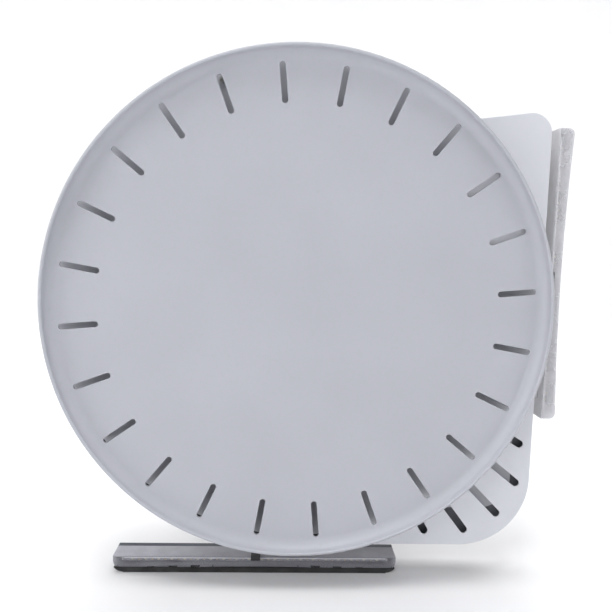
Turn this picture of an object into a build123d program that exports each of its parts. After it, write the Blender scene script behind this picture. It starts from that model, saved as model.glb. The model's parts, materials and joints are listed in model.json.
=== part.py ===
"""Flat satellite dish on a floor pedestal, in millimetres.

The dish is a round vented pan with an antenna array behind its plain middle. It turns about its own
axis in front of a head, which is a dark rear housing with a vented steel cover panel at its lower
right. The head tilts in a yoke, the yoke turns on a pedestal, and a clear light bar stands at the side
of the head and at the foot of the pedestal. +X is right, +Y is away from the viewer and +Z is up. The
origin is on the floor, on the azimuth axis, at the centre of the pedestal's bolt circle.
"""

import os
from math import cos, radians, sin

from build123d import *

# ---- driving dimensions --------------------------------------------------------------------------
AXIS_Z = 347.5           # height of the dish axis and of the elevation pivot
FACE_Y = -150.0          # front surface of the pan's flat face
RUNNING = 0.05           # radial clearance of running fits

# the dish
DISH_R = 300.0           # outer radius of the pan
PAN_T = 2.5              # wall of the pan
RIM_UP = 14.0            # how far the rim stands in front of the face
SKIRT = 14.0             # how far the pan's skirt reaches behind the face
COVE_R = 12.0            # hollow curve between the face and the rim
HEM_T = 4.5              # thickness of the rolled hem at the rim
SLOT_COUNT = 24
SLOT_IN = 237.0          # inner end of each slot in the pan
SLOT_OUT = 283.0         # outer end of each slot in the pan
SLOT_W = 7.0
SLOT_PHASE = -5.5        # turn of the slot ring from the vertical, degrees
ARRAY_R = 222.0          # antenna board
FOAM_FRONT = FACE_Y + PAN_T + 0.2
BOARD_FRONT = FOAM_FRONT + 2.3
ARRAY_BACK = BOARD_FRONT + 1.6
PLATE_T = 4.0            # backplate
FIN_BACK = -130.5
HUB_FACE = -128.0        # back of the backplate's hub
HUB_R = 66.0
HUB_BOLT_R = 50.0
PAN_SCREW_R = 229.0
PAN_SCREW_ANGLES = [SLOT_PHASE + 7.5 + 30 * k for k in range(12)]
CONVERTER_X = 118.0      # middle of the converter box, left of the axis
CONVERTER_W = 70.0

# the dish's spindle and its bush
SPINDLE_R = 25.0
SPINDLE_FLANGE = 7.0
SPINDLE_END = -76.0
LOCK_R = 5.0             # studs of the lock knobs
NUT_R = 34.0
BUSH_FRONT = HUB_FACE + SPINDLE_FLANGE + 0.2
BUSH_FLANGE = 2.8
CARRIER_BORE = 32.0
CARRIER_FLANGE_R = 84.0

# the cover panel
PANEL_Y = -120.0         # its front surface
PANEL_T = 1.5
PANEL_RIGHT = 302.0      # its edges, measured from the dish axis
PANEL_LEFT = 74.0
PANEL_LOW = -306.0
PANEL_TOP_RIGHT = 246.0
PANEL_TOP_LEFT = 214.0
PANEL_BIG_R = 88.0       # lower right corner
PANEL_SMALL_R = 25.0     # the other corners
PANEL_FLANGE = 6.0
PANEL_SCREWS = [(88.0, -200.0), (88.0, 170.0), (287.5, -110.0), (287.5, 112.0)]
VENT_PITCH = 7.2         # its slots point at the dish axis, this many degrees apart
VENT_ANGLES = [45.2 + VENT_PITCH * k for k in range(-3, 4)]
VENT_W = 9.6
VENT_LENGTH = 62.0
VENT_RIGHT = 12.0        # the slots' tips lie on a line this far inside the panel's right edge,
VENT_LOW = 15.0          # this far above its lower edge,
VENT_CORNER = 86.0       # with this corner radius

# the rear housing and what it holds
HOUSING_FRONT = PANEL_Y + PANEL_T
HOUSING_BACK = -75.0
HOUSING_T = 3.0
HOUSING_INSET = 4.0      # the housing's wall stands this far inside the panel's edge
DRUM_R = 298.0
COVER_T = 1.2
COVER_SCREW_ANGLES = (200, 235, 270, 305, 340)
CHASSIS_LEFT = 100.0     # chassis plate, measured from the dish axis
CHASSIS_RIGHT = 280.0
CHASSIS_LOW = -259.5
CHASSIS_TOP = 200.0
CHASSIS_FRONT = -111.0
CHASSIS_T = 1.5
STANDOFFS = [(112.0, -190.0), (262.0, -190.0), (112.0, -30.0), (112.0, 180.0), (262.0, 180.0)]
FAN_X = 196.0
FAN_Z = -110.0
FAN_R = 38.0
FAN_FRONT = -100.0
FAN_BACK = HOUSING_BACK - HOUSING_T
CONNECTOR_X = 172.0
CONNECTOR_Z = -226.0
SOCKET_DX = (-50.0, -28.0)
BUTTON_DX = -4.0
INLET_DX = 36.0
BUTTON_R = 5.5
BUTTON_TRAVEL = 1.8

# the light bars
BAR_LENGTH = 365.0
BAR_W = 19.0             # in the plane of the dish, at the ends
BAR_WALL = 2.0
BAR_FRONT = -115.0       # front of the lens
RAIL_FRONT = -88.0       # back of the lens, front of its rail
RAIL_BACK = -80.0
SIDE_CORNER = 8.0        # outer corners of the side bar
FOOT_CORNER = 13.0       # outer corners of the foot bar
BAR_WAIST = 5.5          # how far the outer edge draws in at mid length
BAR_SLITS = ((-154.0, 9.0), (-116.0, 14.0))
STRIP_OFF = 5.4          # middle of the light strip, from the bar's inner edge
STRIP_FRONT = -109.0
STRIP_T = 0.6
LED_PITCH = 1000.0 / 60.0
LED_SIDE = 5.0
SIDE_BAR_X = 314.0       # inner face of the side bar
SIDE_BAR_MID = 44.0      # its middle, above the dish axis
FOOT_BAR_TOP = 20.5      # top of the foot bar above the floor
FOOT_BAR_MID = -48.0     # its middle, along X
SHOE_TOP = 6.5           # top of the foot bar's rubber shoe
SHOE_T = 1.5

# the elevation joint
PIVOT_R = 8.0            # elevation pins
BRACKET_FRONT = HOUSING_BACK
BRACKET_T = 6.0
BRACKET_HALF = 75.0
BRACKET_BOLTS = [(x, z) for x in (-50.0, 50.0) for z in (-56.0, 56.0)]
EAR_X = 62.0             # inner face of the tilt bracket's ears
EAR_T = 6.0
ARM_X = 72.0             # inner face of the yoke's arms
ARM_T = 8.0
ARM_HALF = 30.0
YOKE_Z = 212.0           # underside of the yoke
YOKE_BASE_T = 8.0
YOKE_BOLT_R = 38.0

# the pedestal
AZIMUTH_R = 20.0         # azimuth spindle
SPINDLE_FLANGE_R = 50.0
BUSH_R = 26.0
COLUMN_R = 34.0
COLUMN_TOP = 200.0
COLUMN_FLANGE_R = 58.0
COLUMN_FLANGE_T = 10.0
COLUMN_BOLT_R = 49.0
LOCK_Z = 165.0
BASE_T = 8.0
BASE_FRONT = -77.0
BASE_FRONT_HALF = 82.0
TAIL_HALF = 165.0
TAIL_BACK = 290.0
BASE_BOLTS = [(x, y) for x in (-66.0, 66.0) for y in (-30.0, 30.0)]
BASE_HOLE_R = 4.5
FOOT_PADS = [(-62.0, -56.0), (62.0, -56.0), (-128.0, 252.0), (128.0, 252.0)]
ARM_SCREWS = [(FOOT_BAR_MID - 8, -63.0), (FOOT_BAR_MID + 8, -63.0)]

os.makedirs("parts", exist_ok=True)


# ---- helpers -------------------------------------------------------------------------------------
def at_axis(y, x=0.0, z=0.0):
    """A plane facing the viewer at depth y, with its origin at (x, z) from the dish axis."""
    return Plane(origin=(x, y, AXIS_Z + z), x_dir=(1, 0, 0), z_dir=(0, -1, 0))


def slab(sketch, front, back, x=0.0, z=0.0):
    """A sketch in the plane of the dish, made solid from depth front to depth back."""
    return extrude(at_axis(back, x, z) * sketch, back - front)


def rod_y(radius, front, back, x=0.0, z=0.0):
    return slab(Circle(radius), front, back, x, z)


def ring_y(outer, inner, front, back, x=0.0, z=0.0):
    return slab(Circle(outer) - Circle(inner), front, back, x, z)


def rod_x(radius, x0, x1, y=0.0, z=AXIS_Z):
    return extrude(Plane(origin=(x0, y, z), x_dir=(0, 1, 0), z_dir=(1, 0, 0)) * Circle(radius), x1 - x0)


def rod_z(radius, z0, z1, x=0.0, y=0.0):
    return extrude(Plane(origin=(x, y, z0)) * Circle(radius), z1 - z0)


def block(x0, x1, y0, y1, z0, z1):
    return Pos((x0 + x1) / 2, (y0 + y1) / 2, (z0 + z1) / 2) * Box(x1 - x0, y1 - y0, z1 - z0)


def radial_slot(inner, outer, width, angle):
    """A round-ended slot that points away from the axis; angle is clockwise from +Z, seen from the front."""
    middle = (inner + outer) / 2
    return Rot(0, 0, 90 - angle) * Pos(middle, 0) * SlotOverall(outer - inner, width)


def polar(radius, angle):
    """A point in the dish plane; angle is clockwise from +Z, seen from the front."""
    return radius * sin(radians(angle)), radius * cos(radians(angle))


def lobed(radius, depth, lobes):
    """The outline of a hand knob: a circle with rounded scallops."""
    centres = [polar(radius + depth * 0.9, 360 / lobes * k) for k in range(lobes)]
    scallops = Sketch() + [Pos(*centre) * Circle(depth * 1.9) for centre in centres]
    return Circle(radius) - scallops


COVER_SCREWS = [polar(DRUM_R - 14, a) for a in COVER_SCREW_ANGLES]


def together(solids):
    return Compound(children=list(solids))


def save(name, shape):
    shape.label = name
    export_step(shape, f"parts/{name}.step")


# ---- the dish ------------------------------------------------------------------------------------
def dish_pan():
    """A shallow pan with a rounded rim that stands forward, a short skirt, and a ring of radial slots."""
    hem_in = DISH_R - HEM_T
    skirt_in = DISH_R - 2.3
    corners = [
        (0, 0, 0),
        (hem_in, 0, COVE_R),
        (hem_in, RIM_UP, 1.9),
        (DISH_R, RIM_UP, 2.3),
        (DISH_R, -SKIRT, 0.8),
        (skirt_in, -SKIRT, 0.8),
        (skirt_in, 6.0, 1.2),
        (hem_in - 5.5, -PAN_T, 10.0),
        (0, -PAN_T, 0),
    ]
    face = make_face(Polyline(*[(r, h) for r, h, _ in corners], close=True))
    for r, h, radius in corners:
        if radius:
            corner = face.vertices().sort_by_distance(Vector(r, h, 0))[0]
            face = fillet(corner, radius)
    # the section is drawn with radius along X and height towards the viewer along Y
    upright = Plane(origin=(0, FACE_Y, AXIS_Z), x_dir=(1, 0, 0), z_dir=(0, 0, 1))
    placed = upright * mirror(face, Plane.XZ)
    pan = revolve(placed, Axis((0, 0, AXIS_Z), (0, 1, 0)), 360)
    slots = Sketch() + [
        radial_slot(SLOT_IN, SLOT_OUT, SLOT_W, SLOT_PHASE + 360 / SLOT_COUNT * k) for k in range(SLOT_COUNT)
    ]
    pan -= slab(slots, FACE_Y - 5, FACE_Y + 5)
    for a in PAN_SCREW_ANGLES:
        pan += ring_y(5, 1.7, FACE_Y + PAN_T - 0.5, ARRAY_BACK, *polar(PAN_SCREW_R, a))
    return pan


def foam_spacer():
    return rod_y(ARRAY_R - 4, FOAM_FRONT, BOARD_FRONT)


def array_board():
    return rod_y(ARRAY_R, BOARD_FRONT, ARRAY_BACK)


def array_backplate():
    """The plate that carries the board and the pan, with radial cooling fins and a thick hub on its back."""
    plate = rod_y(PAN_SCREW_R + 6, ARRAY_BACK, ARRAY_BACK + PLATE_T)
    plate += rod_y(HUB_R, ARRAY_BACK, HUB_FACE)
    for k in range(36):
        inner, outer = (HUB_R + 8, PAN_SCREW_R - 12)
        if 26 <= k <= 28:
            inner = CONVERTER_X + CONVERTER_W / 2 + 8
        fin = Pos(0, (inner + outer) / 2) * Rectangle(2.4, outer - inner)
        plate += slab(Rot(0, 0, -10 * k) * fin, ARRAY_BACK + PLATE_T - 0.5, FIN_BACK)
    for a in PAN_SCREW_ANGLES:
        plate -= rod_y(2.2, ARRAY_BACK - 1, FIN_BACK, *polar(PAN_SCREW_R, a))
    for k in range(6):
        plate -= rod_y(2.5, HUB_FACE - 10, HUB_FACE + 1, *polar(HUB_BOLT_R, 60 * k))
    return plate


def rf_converter():
    """The frequency converter, a cast box with a stepped lid, on the left of the backplate."""
    back = ARRAY_BACK + PLATE_T
    body = slab(RectangleRounded(CONVERTER_W, 34, 4), back, back + 10, -CONVERTER_X, 0)
    lid = slab(RectangleRounded(CONVERTER_W - 8, 26, 3), back + 10, back + 12, -CONVERTER_X, 0)
    return body + lid


def pan_screws():
    """Twelve screws from the backplate into the pan's bosses."""
    screws = []
    for a in PAN_SCREW_ANGLES:
        x, z = polar(PAN_SCREW_R, a)
        shank = rod_y(1.6, FACE_Y + PAN_T + 0.5, ARRAY_BACK + PLATE_T, x, z)
        head = rod_y(3.6, ARRAY_BACK + PLATE_T, ARRAY_BACK + PLATE_T + 2.6, x, z)
        head -= slab(RegularPolygon(1.5, 6), ARRAY_BACK + PLATE_T + 1.0, ARRAY_BACK + PLATE_T + 3, x, z)
        screws.append(shank + head)
    return together(screws)


def dish_spindle():
    """The flanged shaft that the dish turns on, with a blind hole for the skew lock."""
    flange_back = HUB_FACE + SPINDLE_FLANGE
    spindle = rod_y(62, HUB_FACE, flange_back) + rod_y(SPINDLE_R, flange_back, SPINDLE_END)
    spindle -= rod_y(LOCK_R + RUNNING, SPINDLE_END - 24, SPINDLE_END + 1)
    for k in range(6):
        spindle -= rod_y(2.5, HUB_FACE - 1, flange_back + 1, *polar(HUB_BOLT_R, 60 * k))
        spindle -= rod_y(5.0, flange_back - 3.5, flange_back + 1, *polar(HUB_BOLT_R, 60 * k))
    return spindle


def hub_bolts():
    """Six bolts that hold the spindle's flange to the backplate's hub."""
    bolts = []
    for k in range(6):
        x, z = polar(HUB_BOLT_R, 60 * k)
        back = HUB_FACE + SPINDLE_FLANGE
        head = slab(RegularPolygon(4.2, 6), back - 3.5, back - 0.4, x, z)
        bolts.append(rod_y(2.45, HUB_FACE - 9, back - 3.5, x, z) + head)
    return together(bolts)


# ---- the head: panel, housing and what they hold -------------------------------------------------
def panel_outline(inset=0.0):
    """The cover panel's outline: square at the lower right but for one large corner, with a sloping top."""
    shape = Polygon(
        (PANEL_LEFT, PANEL_LOW),
        (PANEL_RIGHT, PANEL_LOW),
        (PANEL_RIGHT, PANEL_TOP_RIGHT),
        (PANEL_LEFT, PANEL_TOP_LEFT),
        align=None,
    )
    low_right = shape.vertices().sort_by_distance(Vector(PANEL_RIGHT, PANEL_LOW, 0))[0]
    shape = fillet(low_right, PANEL_BIG_R)
    for x, z in ((PANEL_RIGHT, PANEL_TOP_RIGHT), (PANEL_LEFT, PANEL_TOP_LEFT), (PANEL_LEFT, PANEL_LOW)):
        corner = shape.vertices().sort_by_distance(Vector(x, z, 0))[0]
        shape = fillet(corner, PANEL_SMALL_R)
    return offset(shape, -inset) if inset else shape


def vent_tip(angle):
    """How far from the dish axis a panel slot ends; angle is below +X."""
    across, down = cos(radians(angle)), sin(radians(angle))
    right, low = PANEL_RIGHT - VENT_RIGHT, -PANEL_LOW - VENT_LOW
    centre_x, centre_low = right - VENT_CORNER, low - VENT_CORNER
    along = centre_x * across + centre_low * down
    off = centre_low * across - centre_x * down
    if right / across * down < centre_low:
        return right / across
    if low / down * across < centre_x:
        return low / down
    return along + (VENT_CORNER**2 - off**2) ** 0.5


def case_panel():
    """Sheet steel cover with a turned-back edge and a fan of radial slots in its lower right corner."""
    outer = slab(panel_outline(), PANEL_Y, PANEL_Y + PANEL_FLANGE)
    front_edges = outer.faces().sort_by(Axis.Y)[0].edges()
    outer = fillet(front_edges, 1.4)
    outer -= slab(panel_outline(PANEL_T), PANEL_Y + PANEL_T, PANEL_Y + PANEL_FLANGE + 1)
    outer -= rod_y(DRUM_R + 0.5, PANEL_Y + PANEL_T, PANEL_Y + PANEL_FLANGE + 1)
    tips = [(vent_tip(a), a) for a in VENT_ANGLES]
    slots = Sketch() + [radial_slot(tip - VENT_LENGTH, tip, VENT_W, 90 + a) for tip, a in tips]
    for x, z in PANEL_SCREWS:
        outer -= rod_y(2.1, PANEL_Y - 1, PANEL_Y + PANEL_FLANGE, x, z)
    return outer - slab(slots, PANEL_Y - 1, PANEL_Y + PANEL_FLANGE + 1)


def housing_outline(inset=0.0):
    return Circle(DRUM_R - inset) + panel_outline(HOUSING_INSET + inset)


def rear_housing():
    """The dark moulded shell behind the dish and panel: a round drum with one squared corner."""
    shell = slab(housing_outline(), HOUSING_FRONT, HOUSING_BACK)
    back_edges = shell.faces().sort_by(Axis.Y)[-1].edges()
    shell = fillet(back_edges, 5.0)
    shell -= slab(housing_outline(HOUSING_T), HOUSING_FRONT - 1, HOUSING_BACK - HOUSING_T)
    shell -= rod_y(NUT_R + 4, HOUSING_BACK - 10, HOUSING_BACK + 1)
    for x, z in BRACKET_BOLTS:
        shell -= rod_y(4.1, HOUSING_BACK - 10, HOUSING_BACK + 1, x, z)
    grille = Sketch() + [radial_slot(14, FAN_R - 3, 5, 30 * k) for k in range(12)]
    shell -= slab(grille, HOUSING_BACK - 10, HOUSING_BACK + 1, FAN_X, FAN_Z)
    window = RectangleRounded(130, 34, 4)
    shell -= slab(window, HOUSING_BACK - 10, HOUSING_BACK + 1, CONNECTOR_X, CONNECTOR_Z)
    for k in range(9):
        slit = SlotOverall(90, 4)
        shell -= slab(slit, HOUSING_BACK - 10, HOUSING_BACK + 1, -150, -80 + 20 * k)
    for dz in (-24, 24):
        wall = PANEL_RIGHT - HOUSING_INSET
        shell -= rod_x(2.0, wall - 6, wall + 1, -98, AXIS_Z + SIDE_BAR_MID + dz)
    for x, z in COVER_SCREWS + PANEL_SCREWS:
        shell += rod_y(6, HOUSING_FRONT + COVER_T, HOUSING_BACK - HOUSING_T + 0.5, x, z)
        shell -= rod_y(2.0, HOUSING_FRONT, HOUSING_BACK - 10, x, z)
    return shell


def front_cover():
    """Pale sheet disc that closes the drum behind the dish, with a hole for the spindle's flange."""
    cover = ring_y(DRUM_R - HOUSING_T - 0.4, 70, HOUSING_FRONT, HOUSING_FRONT + COVER_T)
    for x, z in COVER_SCREWS + PANEL_SCREWS[:2]:
        cover -= rod_y(2.1, HOUSING_FRONT - 1, HOUSING_FRONT + COVER_T + 1, x, z)
    return cover


def cover_screws():
    """Screws through the cover, and on the right through the panel too, into the housing's bosses."""
    screws = []
    for x, z in COVER_SCREWS + PANEL_SCREWS:
        seat = PANEL_Y if (x, z) in PANEL_SCREWS else HOUSING_FRONT
        head = rod_y(3.8, seat - 2.4, seat, x, z)
        head -= slab(RegularPolygon(1.6, 6), seat - 3, seat - 0.8, x, z)
        screws.append(head + rod_y(1.95, seat, HOUSING_FRONT + 20, x, z))
    return together(screws)


def panel_gasket():
    """Foam seal between the panel's flange and the housing's wall, where the panel reaches past the drum."""
    strip = panel_outline(PANEL_T) - panel_outline(HOUSING_INSET) - Circle(DRUM_R + 0.5)
    return slab(strip, PANEL_Y + PANEL_T, PANEL_Y + PANEL_FLANGE - 0.5)


def chassis_plate():
    """The pale inner plate that shows through the panel's slots and carries the electronics."""
    width, height = CHASSIS_RIGHT - CHASSIS_LEFT, CHASSIS_TOP - CHASSIS_LOW
    centre = ((CHASSIS_LEFT + CHASSIS_RIGHT) / 2, (CHASSIS_LOW + CHASSIS_TOP) / 2)
    outline = Pos(*centre) * Rectangle(width, height)
    low_right = outline.vertices().sort_by_distance(Vector(CHASSIS_RIGHT, CHASSIS_LOW, 0))[0]
    outline = fillet(low_right, 40)
    plate = slab(outline, CHASSIS_FRONT, CHASSIS_FRONT + CHASSIS_T)
    plate -= rod_y(FAN_R, CHASSIS_FRONT - 1, CHASSIS_FRONT + 3, FAN_X, FAN_Z)
    for x, z in STANDOFFS:
        plate -= rod_y(1.7, CHASSIS_FRONT - 1, CHASSIS_FRONT + 3, x, z)
    return plate


def chassis_standoffs():
    """Hexagonal spacers and their screws, from the housing's back wall to the chassis plate."""
    made = []
    for x, z in STANDOFFS:
        spacer = slab(RegularPolygon(4.5, 6), CHASSIS_FRONT + CHASSIS_T, HOUSING_BACK - HOUSING_T, x, z)
        shank = rod_y(1.6, CHASSIS_FRONT, CHASSIS_FRONT + CHASSIS_T, x, z)
        head = rod_y(3, CHASSIS_FRONT - 2, CHASSIS_FRONT, x, z)
        made.append(spacer + shank + head)
    return together(made)


def power_supply():
    """Folded metal box with a perforated lid, on the back of the chassis plate."""
    front = CHASSIS_FRONT + CHASSIS_T
    box = slab(RectangleRounded(96, 78, 2), front, front + 24, 190, 20)
    for row in range(4):
        for column in range(6):
            box -= rod_y(2, front + 20, front + 25, 160 + 12 * column, 2 + 12 * row)
    return box


def modem_board():
    """Circuit board with two shield cans and a row of connectors."""
    front = CHASSIS_FRONT + CHASSIS_T + 4
    board = slab(RectangleRounded(120, 82, 2), front, front + 1.6, 196, 118)
    board += slab(RectangleRounded(44, 36, 2), front + 1.6, front + 7, 172, 128)
    board += slab(RectangleRounded(34, 34, 2), front + 1.6, front + 6, 224, 132)
    for k in range(4):
        board += slab(Rectangle(14, 10), front + 1.6, front + 10, 160 + 20 * k, 86)
    for dx in (-54, 54):
        for dz in (-35, 35):
            board += rod_y(2.5, CHASSIS_FRONT + CHASSIS_T, front, 196 + dx, 118 + dz)
    return board


def fan_frame():
    """Square fan frame with a round duct, a hub held by three struts, and corner ears."""
    frame = RectangleRounded(82, 82, 5) - Circle(FAN_R)
    duct = slab(frame, FAN_FRONT, FAN_BACK, FAN_X, FAN_Z)
    hub = rod_y(13, FAN_BACK - 4, FAN_BACK, FAN_X, FAN_Z)
    for k in range(3):
        strut = Rot(0, 0, 120 * k + 15) * (Pos(0, 24.5) * Rectangle(3, 29))
        hub += slab(strut, FAN_BACK - 3, FAN_BACK, FAN_X, FAN_Z)
    frame_solid = duct + hub
    frame_solid -= rod_y(2.0 + RUNNING, FAN_BACK - 5, FAN_BACK - 1, FAN_X, FAN_Z)
    for dx in (-35.5, 35.5):
        for dz in (-35.5, 35.5):
            frame_solid -= rod_y(2.1, FAN_FRONT - 1, FAN_BACK + 1, FAN_X + dx, FAN_Z + dz)
    return frame_solid


def fan_rotor():
    """Hub cap with seven swept blades on a short steel axle."""
    cap = rod_y(13, FAN_FRONT + 1, FAN_BACK - 5, FAN_X, FAN_Z)
    blade_sketch = Rot(0, 0, 8) * (Pos(0, 23.5) * SlotOverall(24, 3.2, rotation=76))
    for k in range(7):
        cap += slab(Rot(0, 0, 360 / 7 * k) * blade_sketch, FAN_FRONT + 3, FAN_BACK - 6, FAN_X, FAN_Z)
    return cap + rod_y(2.0, FAN_BACK - 5, FAN_BACK - 1.5, FAN_X, FAN_Z)


def hub_carrier():
    """Cast carrier inside the housing that holds the skew bush; the tilt bracket bolts to it."""
    flange_front = HOUSING_BACK - HOUSING_T - 4
    carrier = ring_y(CARRIER_FLANGE_R, NUT_R + 4, flange_front, HOUSING_BACK - HOUSING_T)
    carrier += ring_y(44, CARRIER_BORE, BUSH_FRONT + BUSH_FLANGE, flange_front)
    for k in range(6):
        web = Rot(0, 0, 60 * k) * (Pos(0, 60) * Rectangle(5, 34))
        carrier += slab(web, flange_front - 18, flange_front + 0.5)
    for x, z in BRACKET_BOLTS:
        carrier -= rod_y(4.0, flange_front - 1, HOUSING_BACK, x, z)
    return carrier


def skew_bush():
    """Flanged plain bush that the dish spindle turns in."""
    bush = ring_y(CARRIER_BORE, SPINDLE_R + RUNNING, BUSH_FRONT + BUSH_FLANGE, HOUSING_BACK - HOUSING_T - 4)
    return bush + ring_y(43, SPINDLE_R + RUNNING, BUSH_FRONT, BUSH_FRONT + BUSH_FLANGE)


def spindle_nut():
    """Slotted ring nut that keeps the spindle in its bush."""
    front = HOUSING_BACK - HOUSING_T - 3.8
    nut = ring_y(NUT_R, SPINDLE_R, front, SPINDLE_END)
    for k in range(4):
        notch = Rot(0, 0, 90 * k + 45) * (Pos(0, NUT_R) * Rectangle(7, 8))
        nut -= slab(notch, front - 1, SPINDLE_END + 1)
    return nut


def tilt_bracket():
    """Bent steel bracket on the housing's back, with two ears that turn on the elevation pins."""
    outer_x = EAR_X + EAR_T
    back = slab(Rectangle(2 * outer_x, 2 * BRACKET_HALF), BRACKET_FRONT, BRACKET_FRONT + BRACKET_T)
    back -= rod_y(NUT_R + 4, BRACKET_FRONT - 1, BRACKET_FRONT + BRACKET_T + 1)
    for x, z in BRACKET_BOLTS:
        back -= rod_y(4.3, BRACKET_FRONT - 1, BRACKET_FRONT + 10, x, z)
    ear_shape = Plane(origin=(0, 0, AXIS_Z), x_dir=(0, 1, 0), z_dir=(1, 0, 0)) * (
        make_hull(
            (
                Pos(0, 0) * Circle(24)
                + Pos(BRACKET_FRONT + 3, 0) * Rectangle(6, 2 * BRACKET_HALF - 30)
            ).edges()
        )
        - Circle(PIVOT_R + RUNNING)
        - Pos(-42, 0) * SlotOverall(34, 18, rotation=90)
    )
    for x in (EAR_X, -EAR_X - EAR_T):
        back += Pos(x, 0, 0) * extrude(ear_shape, EAR_T)
    return back


def bracket_bolts():
    """Four bolts from the tilt bracket through the housing's wall into the hub carrier."""
    bolts = []
    back = BRACKET_FRONT + BRACKET_T
    for x, z in BRACKET_BOLTS:
        head = slab(RegularPolygon(6.5, 6), back, back + 5, x, z)
        bolts.append(head + rod_y(4.0, HOUSING_BACK - HOUSING_T - 6, back, x, z))
    return together(bolts)


def connector_plate():
    """Metal plate in the housing's back that carries the sockets."""
    back = HOUSING_BACK
    plate = slab(RectangleRounded(129.6, 33.6, 3.8), back - 2.5, back, CONNECTOR_X, CONNECTOR_Z)
    for dx in SOCKET_DX:
        plate -= rod_y(4.8, back - 4, back + 1, CONNECTOR_X + dx, CONNECTOR_Z)
    plate += ring_y(9, BUTTON_R + 0.3, back - 0.5, back + 1.5, CONNECTOR_X + BUTTON_DX, CONNECTOR_Z)
    plate -= rod_y(BUTTON_R + 0.3, back - 4, back + 2, CONNECTOR_X + BUTTON_DX, CONNECTOR_Z)
    return plate - slab(RectangleRounded(27, 19, 3), back - 4, back + 1, CONNECTOR_X + INLET_DX, CONNECTOR_Z)


def power_button():
    """Round push button with a collar that holds it in the connector plate."""
    back = HOUSING_BACK
    x = CONNECTOR_X + BUTTON_DX
    cap = rod_y(BUTTON_R, back - 5, back + 4, x, CONNECTOR_Z)
    cap = fillet(cap.faces().sort_by(Axis.Y)[-1].edges(), 1.0)
    collar = rod_y(7.5, back - 5, back - 3, x, CONNECTOR_Z)
    return cap + collar


def power_switch():
    """Body of the power switch, in front of the button's collar."""
    back = HOUSING_BACK - 5 - BUTTON_TRAVEL - 0.4
    x = CONNECTOR_X + BUTTON_DX
    body = slab(RectangleRounded(16, 16, 1.5), back - 12, back, x, CONNECTOR_Z)
    for dx in (-4, 4):
        body += slab(Rectangle(0.8, 4), back - 16, back - 11.5, x + dx, CONNECTOR_Z)
    post = Rectangle(3, 20)
    for dx in (-9.5, 9.5):
        body += slab(post, back - 4, HOUSING_BACK - 2.5, x + dx, CONNECTOR_Z)
        body += slab(Rectangle(5, 14), back - 4, back, x + dx * 0.85, CONNECTOR_Z)
    return body


def coax_sockets():
    """Two threaded coaxial sockets with hexagonal nuts."""
    sockets = []
    back = HOUSING_BACK
    for dx in SOCKET_DX:
        x = CONNECTOR_X + dx
        body = ring_y(4.75, 2.4, back - 12, back + 11, x, CONNECTOR_Z)
        body += rod_y(4.75, back - 14, back - 4, x, CONNECTOR_Z)
        nut = slab(RegularPolygon(7.2, 6) - Circle(4.7), back, back + 3, x, CONNECTOR_Z)
        sockets.append(body + nut)
    return together(sockets)


def power_inlet():
    """Three-pin mains inlet set in the connector plate."""
    back = HOUSING_BACK
    x = CONNECTOR_X + INLET_DX
    body = slab(RectangleRounded(26.6, 18.6, 2.8), back - 18, back, x, CONNECTOR_Z)
    body += slab(RectangleRounded(31, 23, 3), back, back + 2, x, CONNECTOR_Z)
    body -= slab(RectangleRounded(22, 14, 2), back - 14, back + 3, x, CONNECTOR_Z)
    for dx, dz in ((-6, -1.5), (6, -1.5), (0, 2.5)):
        body += slab(Rectangle(1.8, 4), back - 14.5, back - 3, x + dx, CONNECTOR_Z + dz)
    return body


# ---- light bars ----------------------------------------------------------------------------------
def bar_outline(corner_r, inset=0.0):
    """A light bar lying along X, from the front: inner edge at 0, outer edge below, waisted at mid length."""
    half = BAR_LENGTH / 2
    inner = Line((-half, 0), (half, 0))
    right = Line((half, 0), (half, -BAR_W))
    outer = ThreePointArc((half, -BAR_W), (0, -BAR_W + BAR_WAIST), (-half, -BAR_W))
    left = Line((-half, -BAR_W), (-half, 0))
    shape = make_face([inner, right, outer, left])
    for end in (-half, half):
        corner = shape.vertices().sort_by_distance(Vector(end, -BAR_W, 0))[0]
        shape = fillet(corner, corner_r)
    return offset(shape, -inset) if inset else shape


def bar_slab(place, sketch, front, back):
    return extrude(place(back) * sketch, back - front)


def bar_lens(place, corner_r):
    """Clear cover, open at the back, with small moulded slits through its inner side."""
    lens = bar_slab(place, bar_outline(corner_r), BAR_FRONT, RAIL_FRONT)
    lens = fillet(lens.faces().sort_by(Axis.Y)[0].edges(), 1.0)
    lens -= bar_slab(place, bar_outline(corner_r, BAR_WALL), BAR_FRONT + BAR_WALL, RAIL_FRONT + 1)
    for along, length in BAR_SLITS:
        lens -= bar_slab(place, Pos(along, -BAR_WALL / 2) * Rectangle(length, BAR_WALL + 1), -101.0, -100.0)
    return lens


def bar_rail(place, corner_r):
    """Dark extrusion behind the lens, with a low ridge that the lens snaps over."""
    rail = bar_slab(place, bar_outline(corner_r), RAIL_FRONT, RAIL_BACK)
    return rail + bar_slab(place, bar_outline(corner_r, BAR_WALL + 0.2), RAIL_FRONT - 2, RAIL_FRONT + 0.5)


def bar_reflector(place):
    """White carrier for the light strip, along the inner half of the bar, with a web back to the rail."""
    front = STRIP_FRONT + STRIP_T
    body = bar_slab(place, Pos(0, -STRIP_OFF) * Rectangle(BAR_LENGTH - 20, 6), front, front + 3)
    web = Pos(0, -STRIP_OFF) * Rectangle(BAR_LENGTH - 20, 1.5)
    return body + bar_slab(place, web, front + 2.5, RAIL_FRONT - 2)


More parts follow.
